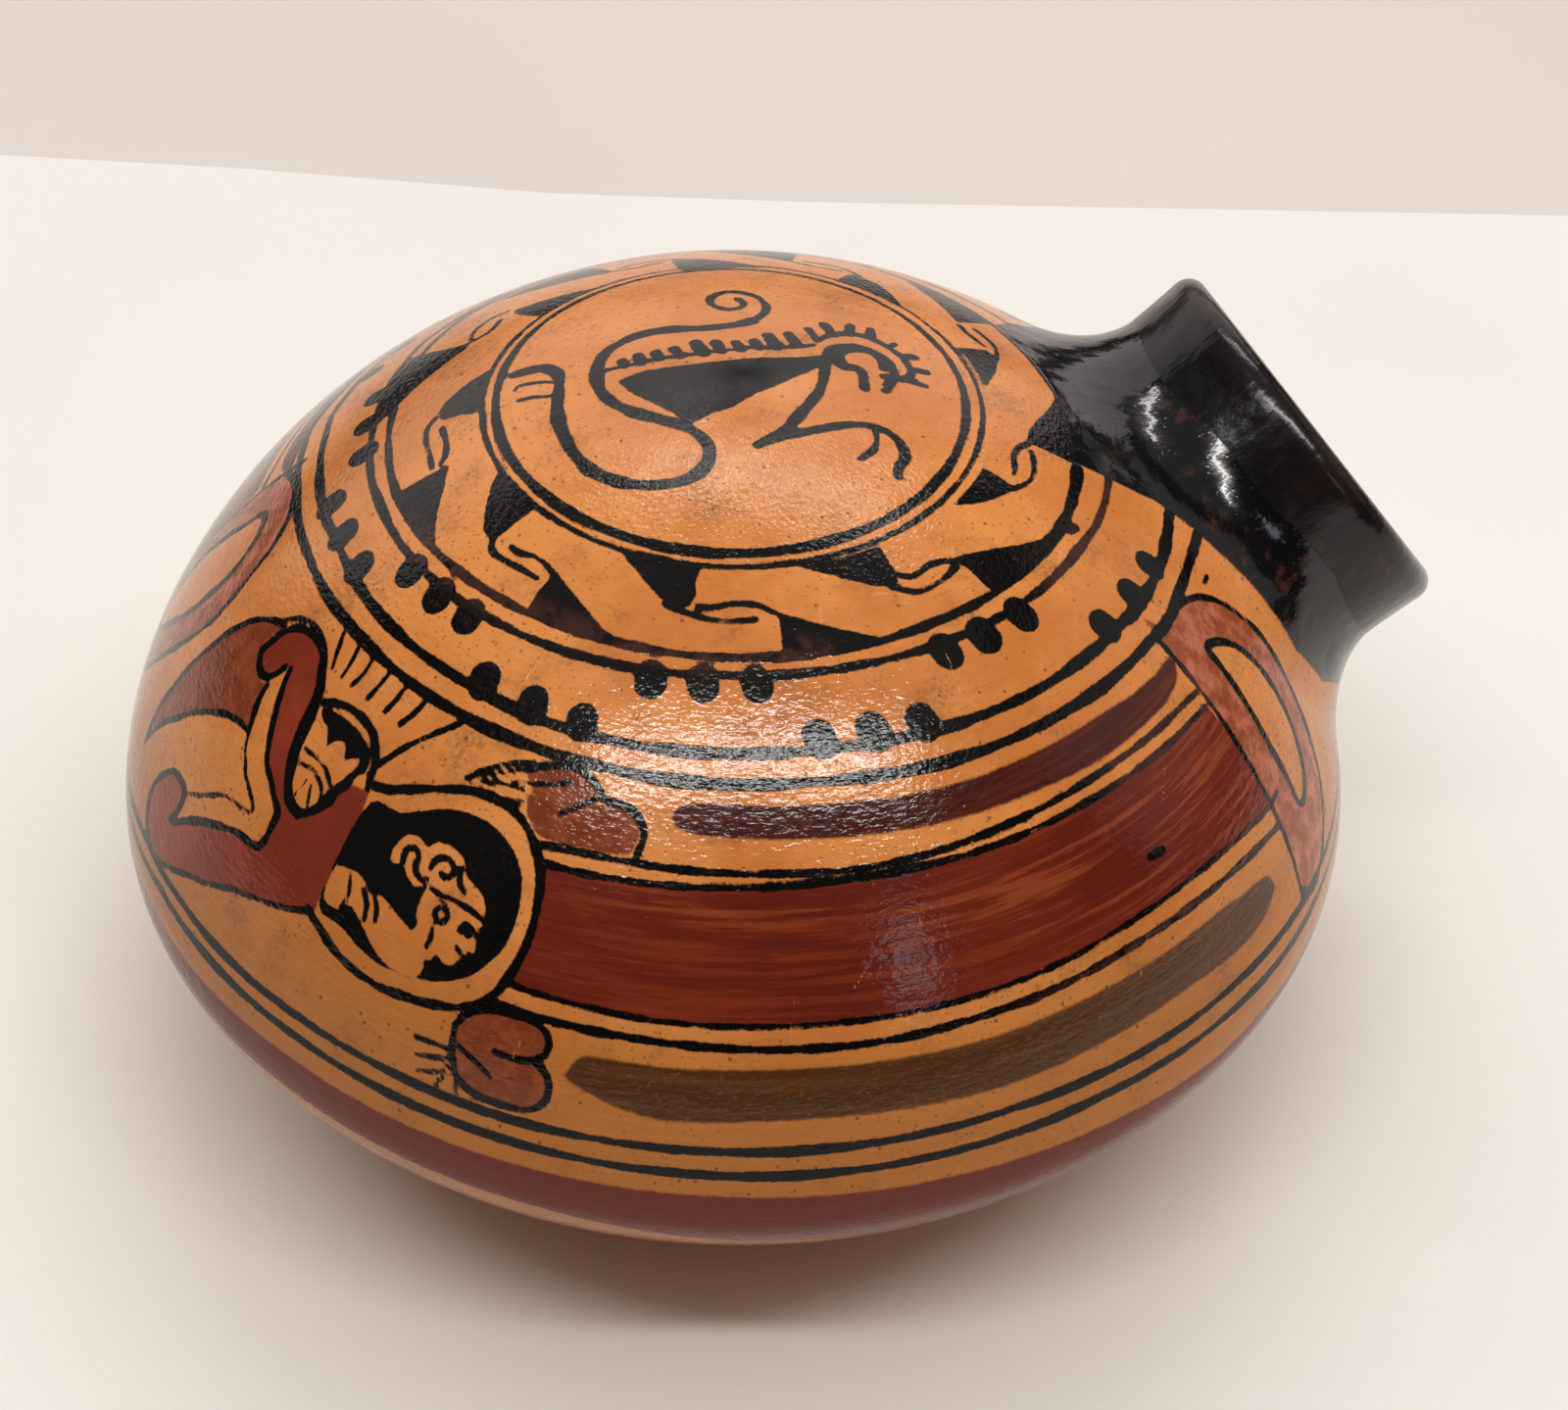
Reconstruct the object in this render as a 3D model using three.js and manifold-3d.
// Squat round vase of burnished, slip-painted clay. The body is two pressed bowls luted
// rim to rim, and a short wide neck stands square to the shoulder, so it points up and out.
// Millimetres, +Z up. The origin is the centre of the flat standing face; the neck leans to +X.

import * as THREE from "three";
import { mergeVertices } from "three/addons/utils/BufferGeometryUtils.js";
import Module from "manifold-3d";

const wasm = await Module();
wasm.setup();

// Body outline, measured from the equator, where both bowls are widest
const BODY_RADIUS = 90;
const SHOULDER_RISE = 69;
const SHOULDER_SIDE_PULL = 22.8;
const SHOULDER_CROWN_PULL = 58.5;
const EQUATOR_HEIGHT = 45.6;
const BASE_RADIUS = 28;
const BOWL_SIDE_PULL = 11.8;
const BOWL_BASE_PULL = 36.8;
const BOWL_BASE_SLOPE = THREE.MathUtils.degToRad(14.7);

// Clay thickness, and the thin layer of slip left between two luted faces
const WALL = 6;
const SLIP_GAP = 0.3;

// Bevelled seam, from the equator outside down to the inner wall, and the coil pressed over it
const BEVEL_DROP = 4;
const SEAM_COIL_WIDTH = 10;
const SEAM_COIL_THICKNESS = 3;

// Neck: how far its hole stays above the seam, and its height from the shoulder to the lip
const HOLE_CLEARANCE = 9.69;
const NECK_HEIGHT = 15.6;
const NECK_RADIUS = 29.2;
const LIP_FLARE = 0.4;
const NECK_WALL = 5.6;
const SPIGOT_WALL = 3;

// Coil worked into the corner between neck and shoulder
const FILLET_REACH = 12;
const FILLET_CLIMB = 9.5;
const FILLET_FULLNESS = 0.62;

// Thickness left at the thin edges of both coils
const COIL_EDGE = 0.6;

// Faces round each turning and along each curve
const BODY_SEGMENTS = 76;
const NECK_SEGMENTS = 56;
const OUTSIDE_STEPS = 14;
const INSIDE_STEPS = 8;
const LIP_STEPS = 8;
const FILLET_STEPS = 7;
const SIDE_STEPS = 4;
const COIL_STEPS = 4;

// Halvings of a search, and how close two corners lie when they are merged
const SEARCH_STEPS = 40;
const WELD_DISTANCE = 1e-4;

// Bore of the neck; hole through the shoulder, one slip layer wider than the spigot in it;
// rounding of the lip's whole thickness; depth the neck is drawn to before the body cuts it
const BORE_RADIUS = NECK_RADIUS - NECK_WALL;
const HOLE_RADIUS = BORE_RADIUS + SPIGOT_WALL + SLIP_GAP;
const LIP_ROUND = (NECK_WALL + LIP_FLARE) / 2;
const SUNK = WALL + NECK_RADIUS;

// The two outline curves, as radius (x) and height over the equator (y)
const shoulderCurve = new THREE.CubicBezierCurve(
  new THREE.Vector2(BODY_RADIUS, 0),
  new THREE.Vector2(BODY_RADIUS, SHOULDER_SIDE_PULL),
  new THREE.Vector2(SHOULDER_CROWN_PULL, SHOULDER_RISE),
  new THREE.Vector2(0, SHOULDER_RISE),
);

const bowlCurve = new THREE.CubicBezierCurve(
  new THREE.Vector2(BASE_RADIUS, -EQUATOR_HEIGHT),
  new THREE.Vector2(
    BASE_RADIUS + BOWL_BASE_PULL * Math.cos(BOWL_BASE_SLOPE),
    -EQUATOR_HEIGHT + BOWL_BASE_PULL * Math.sin(BOWL_BASE_SLOPE),
  ),
  new THREE.Vector2(BODY_RADIUS, -BOWL_SIDE_PULL),
  new THREE.Vector2(BODY_RADIUS, 0),
);

// Unit tangent of an outline curve, exact at its ends
function tangentAt(curve, t) {
  const tangent = new THREE.Vector2();
  const leg = new THREE.Vector2();
  tangent.addScaledVector(leg.subVectors(curve.v1, curve.v0), (1 - t) ** 2);
  tangent.addScaledVector(leg.subVectors(curve.v2, curve.v1), 2 * (1 - t) * t);
  tangent.addScaledVector(leg.subVectors(curve.v3, curve.v2), t ** 2);
  return tangent.normalize();
}

// Point of a curve, moved by `offset` along the outward normal (both curves run upwards)
function offsetPoint(curve, t, offset) {
  const point = curve.getPoint(t);
  const tangent = tangentAt(curve, t);
  return new THREE.Vector2(point.x + tangent.y * offset, point.y - tangent.x * offset);
}

// Points along a curve from t0 to t1, moved by `offset`
function offsetPoints(curve, t0, t1, steps, offset) {
  const points = [];
  for (let i = 0; i <= steps; i += 1) {
    points.push(offsetPoint(curve, t0 + ((t1 - t0) * i) / steps, offset));
  }
  return points;
}

// Parameter at which `measure` of the curve reaches `goal`; the measure only grows with t
function findParameter(measure, goal) {
  let low = 0;
  let high = 1;
  for (let i = 0; i < SEARCH_STEPS; i += 1) {
    const middle = (low + high) / 2;
    if (measure(middle) < goal) {
      low = middle;
    } else {
      high = middle;
    }
  }
  return (low + high) / 2;
}

// Parameter at which a curve, moved by `offset`, lies at `height`
function parameterAt(curve, height, offset) {
  return findParameter((t) => offsetPoint(curve, t, offset).y, height);
}

// Geometry with its shared corners merged and its collapsed triangles left out
function weld(geometry) {
  const bare = new THREE.BufferGeometry();
  bare.setAttribute("position", geometry.getAttribute("position"));
  bare.setIndex(geometry.getIndex());
  const merged = mergeVertices(bare, WELD_DISTANCE);
  const corners = merged.getIndex().array;
  const triangles = [];
  for (let i = 0; i < corners.length; i += 3) {
    const [a, b, c] = corners.slice(i, i + 3);
    if (a !== b && b !== c && c !== a) {
      triangles.push(a, b, c);
    }
  }
  merged.setIndex(triangles);
  return merged;
}

// Solid of a welded geometry, with its faces turned outwards
function toSolid(geometry) {
  const positions = geometry.getAttribute("position");
  const triangles = Array.from(geometry.getIndex().array);
  const corner = (i) => new THREE.Vector3().fromBufferAttribute(positions, triangles[i]);
  let volume = 0;
  for (let i = 0; i < triangles.length; i += 3) {
    volume += corner(i).dot(corner(i + 1).cross(corner(i + 2)));
  }
  if (volume < 0) {
    triangles.reverse();
  }
  return new wasm.Manifold(new wasm.Mesh({
    numProp: 3,
    vertProperties: new Float32Array(positions.array),
    triVerts: new Uint32Array(triangles),
  }));
}

// Geometry of a finished solid
function toGeometry(solid) {
  const mesh = solid.getMesh();
  const geometry = new THREE.BufferGeometry();
  geometry.setAttribute("position", new THREE.BufferAttribute(mesh.vertProperties, 3));
  geometry.setIndex(new THREE.BufferAttribute(mesh.triVerts, 1));
  geometry.computeVertexNormals();
  return geometry;
}

// A profile of radius and height turned about +Z
function turn(profile, segments) {
  return weld(new THREE.LatheGeometry(profile, segments)).rotateX(Math.PI / 2);
}

// A round bar along +Z, centred on the origin
function makeBar(radius, length) {
  return weld(new THREE.CylinderGeometry(radius, radius, length, NECK_SEGMENTS)).rotateX(Math.PI / 2);
}

// Full solid inside the body's outline, moved outwards by `offset`
function bodyBlank(offset) {
  const bowl = offsetPoints(bowlCurve, 0, 1, OUTSIDE_STEPS, offset);
  const shoulder = offsetPoints(shoulderCurve, 0, 1, OUTSIDE_STEPS, offset);
  return turn([new THREE.Vector2(0, bowl[0].y), ...bowl, ...shoulder.slice(1)], BODY_SEGMENTS);
}

// Point of the body's outline at `height` over the equator, moved outwards by `offset`
function outlinePoint(height, offset) {
  const curve = height < 0 ? bowlCurve : shoulderCurve;
  return offsetPoint(curve, parameterAt(curve, height, offset), offset);
}

// Lower bowl: flat standing face, and a rim bevelled down towards the inside
function makeBaseBowl() {
  const outside = offsetPoints(bowlCurve, 0, 1, OUTSIDE_STEPS, 0);
  const rim = parameterAt(bowlCurve, -BEVEL_DROP, -WALL);
  const inside = offsetPoints(bowlCurve, rim, 0, INSIDE_STEPS, -WALL);
  const floorHeight = inside[inside.length - 1].y;
  return toSolid(turn([
    new THREE.Vector2(0, -EQUATOR_HEIGHT),
    ...outside,
    ...inside,
    new THREE.Vector2(0, floorHeight),
  ], BODY_SEGMENTS));
}

// Upper bowl: its rim rests on the lower bowl's bevel, one slip layer above it
function makeShoulderDome(neckFrame) {
  const outside = offsetPoints(shoulderCurve, 0, 1, OUTSIDE_STEPS, 0);
  const inside = offsetPoints(shoulderCurve, 1, 0, INSIDE_STEPS, -WALL);
  const edge = new THREE.Vector2(outside[0].x, outside[0].y + SLIP_GAP);
  const heel = outlinePoint(SLIP_GAP - BEVEL_DROP, -WALL);
  const shell = toSolid(turn([
    edge,
    ...outside.slice(1),
    ...inside,
    heel,
    edge.clone(),
  ], BODY_SEGMENTS));
  const drill = makeBar(HOLE_RADIUS, 2 * (WALL + HOLE_RADIUS)).applyMatrix4(neckFrame);
  return shell.subtract(toSolid(drill));
}

// Coil pressed over the seam from inside: flat against the wall, rounded to the hollow
function makeSeamCoil() {
  const wallSide = [];
  const hollowSide = [];
  for (let i = 0; i <= COIL_STEPS; i += 1) {
    const across = 1 - (2 * i) / COIL_STEPS;
    const height = (across * SEAM_COIL_WIDTH) / 2 - BEVEL_DROP;
    const radius = outlinePoint(height, -WALL).x - SLIP_GAP;
    const swell = COIL_EDGE + SEAM_COIL_THICKNESS * Math.sqrt(1 - across ** 2);
    wallSide.push(new THREE.Vector2(radius, height));
    hollowSide.unshift(new THREE.Vector2(radius - swell, height));
  }
  return toSolid(turn([...wallSide, ...hollowSide, wallSide[0].clone()], BODY_SEGMENTS));
}

// Outside of the neck, in its own frame, moved outwards by `cover`: from deep in the body up to
// where the lip's rounding starts
function neckSide(cover) {
  const side = new THREE.QuadraticBezierCurve(
    new THREE.Vector2(NECK_RADIUS + cover, 0),
    new THREE.Vector2(NECK_RADIUS + cover, (NECK_HEIGHT - LIP_ROUND) / 2),
    new THREE.Vector2(NECK_RADIUS + LIP_FLARE + cover, NECK_HEIGHT - LIP_ROUND),
  );
  return [new THREE.Vector2(NECK_RADIUS + cover, -SUNK), ...side.getPoints(SIDE_STEPS)];
}

// Neck collar, in the neck's own frame: a tube whose foot is cut to the shoulder's curve,
// with a thinner spigot going on through the hole and ending flush with the inner wall
function makeNeckCollar(bodyFrame) {
  const lip = [];
  for (let i = 1; i < LIP_STEPS; i += 1) {
    const angle = (Math.PI * i) / LIP_STEPS;
    lip.push(new THREE.Vector2(
      BORE_RADIUS + LIP_ROUND + LIP_ROUND * Math.cos(angle),
      NECK_HEIGHT - LIP_ROUND + LIP_ROUND * Math.sin(angle),
    ));
  }
  const outside = neckSide(0);
  const tube = toSolid(turn([
    ...outside,
    ...lip,
    new THREE.Vector2(BORE_RADIUS, NECK_HEIGHT - LIP_ROUND),
    new THREE.Vector2(BORE_RADIUS, -SUNK),
    outside[0].clone(),
  ], NECK_SEGMENTS));

  const spigotRadius = BORE_RADIUS + SPIGOT_WALL;
  const spigot = toSolid(makeBar(spigotRadius, 4 * BODY_RADIUS));
  const shoulder = toSolid(bodyBlank(SLIP_GAP).applyMatrix4(bodyFrame)).subtract(spigot);
  const hollow = toSolid(bodyBlank(-WALL).applyMatrix4(bodyFrame));
  return tube.subtract(shoulder).subtract(hollow);
}

// Height of the body's surface in the neck's frame, over the point at `radius` and `angle`
// from the neck's axis, with `cover` added outside the clay
function surfaceHeight(neckFrame, radius, angle, cover) {
  const point = new THREE.Vector3();
  let outside = BODY_RADIUS / 2;
  let inside = -BODY_RADIUS / 2;
  for (let i = 0; i < SEARCH_STEPS; i += 1) {
    const middle = (outside + inside) / 2;
    point.set(radius * Math.cos(angle), radius * Math.sin(angle), middle).applyMatrix4(neckFrame);
    if (Math.hypot(point.x, point.y) < outlinePoint(point.z, cover).x) {
      inside = middle;
    } else {
      outside = middle;
    }
  }
  return (outside + inside) / 2;
}

// Cross-section of the fillet coil at one angle round the neck: its thin upper edge, the hollow
// curve that runs down and out along the body, and back through the clay behind its two seats
function filletSection(neckFrame, angle) {
  const footAt = (radius) => new THREE.Vector2(
    radius,
    surfaceHeight(neckFrame, radius, angle, SLIP_GAP),
  );
  const inner = footAt(NECK_RADIUS + SLIP_GAP);
  const reach = findParameter((t) => footAt(inner.x + t * FILLET_REACH).distanceTo(inner), FILLET_REACH);
  const outer = footAt(inner.x + reach * FILLET_REACH);
  const along = footAt(outer.x + COIL_EDGE).sub(footAt(outer.x - COIL_EDGE)).normalize();
  const edge = new THREE.Vector2(-along.y, along.x).multiplyScalar(COIL_EDGE).add(outer);
  const side = new THREE.Vector2(inner.x + COIL_EDGE, inner.y + FILLET_CLIMB);
  const hollow = new THREE.CubicBezierCurve(
    side,
    new THREE.Vector2(side.x, side.y - FILLET_CLIMB * FILLET_FULLNESS),
    edge.clone().addScaledVector(along, -FILLET_REACH * FILLET_FULLNESS),
    edge,
  );
  const behind = inner.x - WALL / 2;
  return [
    new THREE.Vector2(behind, side.y),
    ...hollow.getPoints(FILLET_STEPS),
    new THREE.Vector2(outer.x, outer.y - WALL / 2),
    new THREE.Vector2(behind, inner.y - WALL / 2),
  ];
}

// Fillet coil, in the neck's own frame: its sections joined all the way round, and the clay
// of the body and of the neck taken out of its two seats
function makeNeckFillet(neckFrame, bodyFrame) {
  const corners = [];
  const index = [];
  let count = 0;
  for (let i = 0; i < NECK_SEGMENTS; i += 1) {
    const angle = (2 * Math.PI * i) / NECK_SEGMENTS;
    const section = filletSection(neckFrame, angle);
    count = section.length;
    for (const point of section) {
      corners.push(point.x * Math.cos(angle), point.x * Math.sin(angle), point.y);
    }
    for (let j = 0; j < count; j += 1) {
      const across = (j + 1) % count;
      const here = i * count;
      const next = ((i + 1) % NECK_SEGMENTS) * count;
      index.push(here + j, next + j, here + across, here + across, next + j, next + across);
    }
  }
  const geometry = new THREE.BufferGeometry();
  geometry.setAttribute("position", new THREE.Float32BufferAttribute(corners, 3));
  geometry.setIndex(index);
  const neckSeat = toSolid(turn([
    new THREE.Vector2(0, -SUNK),
    ...neckSide(SLIP_GAP),
    new THREE.Vector2(0, NECK_HEIGHT - LIP_ROUND),
  ], NECK_SEGMENTS));
  const bodySeat = toSolid(bodyBlank(SLIP_GAP).applyMatrix4(bodyFrame));
  return toSolid(geometry).subtract(bodySeat).subtract(neckSeat);
}

// Seat of the neck: the shoulder point round which the hole stays clear of the seam. The neck
// stands along the outward normal there, which rises as -x over y of the tangent.
const seatParameter = findParameter((t) => (
  shoulderCurve.getPoint(t).y - HOLE_RADIUS * tangentAt(shoulderCurve, t).y
), HOLE_CLEARANCE);
const seat = shoulderCurve.getPoint(seatParameter);
const seatTangent = tangentAt(shoulderCurve, seatParameter);

const neck = new THREE.Group();
neck.position.set(seat.x, 0, seat.y);
neck.rotation.y = Math.atan2(seatTangent.y, -seatTangent.x);
neck.updateMatrix();
const neckFrame = neck.matrix.clone();
const bodyFrame = neckFrame.clone().invert();

const OCHRE_SLIP = { color: 0xcb7c3a, roughness: 0.42, metalness: 0 };
const MAROON_SLIP = { color: 0x6e2a1c, roughness: 0.45, metalness: 0 };
const BLACK_SLIP = { color: 0x1c1a1a, roughness: 0.25, metalness: 0 };
const RAW_CLAY = { color: 0xa5714c, roughness: 0.85, metalness: 0 };

function makePiece(name, solid, finish) {
  const piece = new THREE.Mesh(toGeometry(solid), new THREE.MeshStandardMaterial(finish));
  piece.name = name;
  return piece;
}

neck.add(
  makePiece("neck_collar", makeNeckCollar(bodyFrame), BLACK_SLIP),
  makePiece("neck_fillet_coil", makeNeckFillet(neckFrame, bodyFrame), BLACK_SLIP),
);

const vase = new THREE.Group();
vase.position.z = EQUATOR_HEIGHT;
vase.add(
  makePiece("base_bowl", makeBaseBowl(), MAROON_SLIP),
  makePiece("shoulder_dome", makeShoulderDome(neckFrame), OCHRE_SLIP),
  makePiece("seam_coil", makeSeamCoil(), RAW_CLAY),
  neck,
);

export default vase;
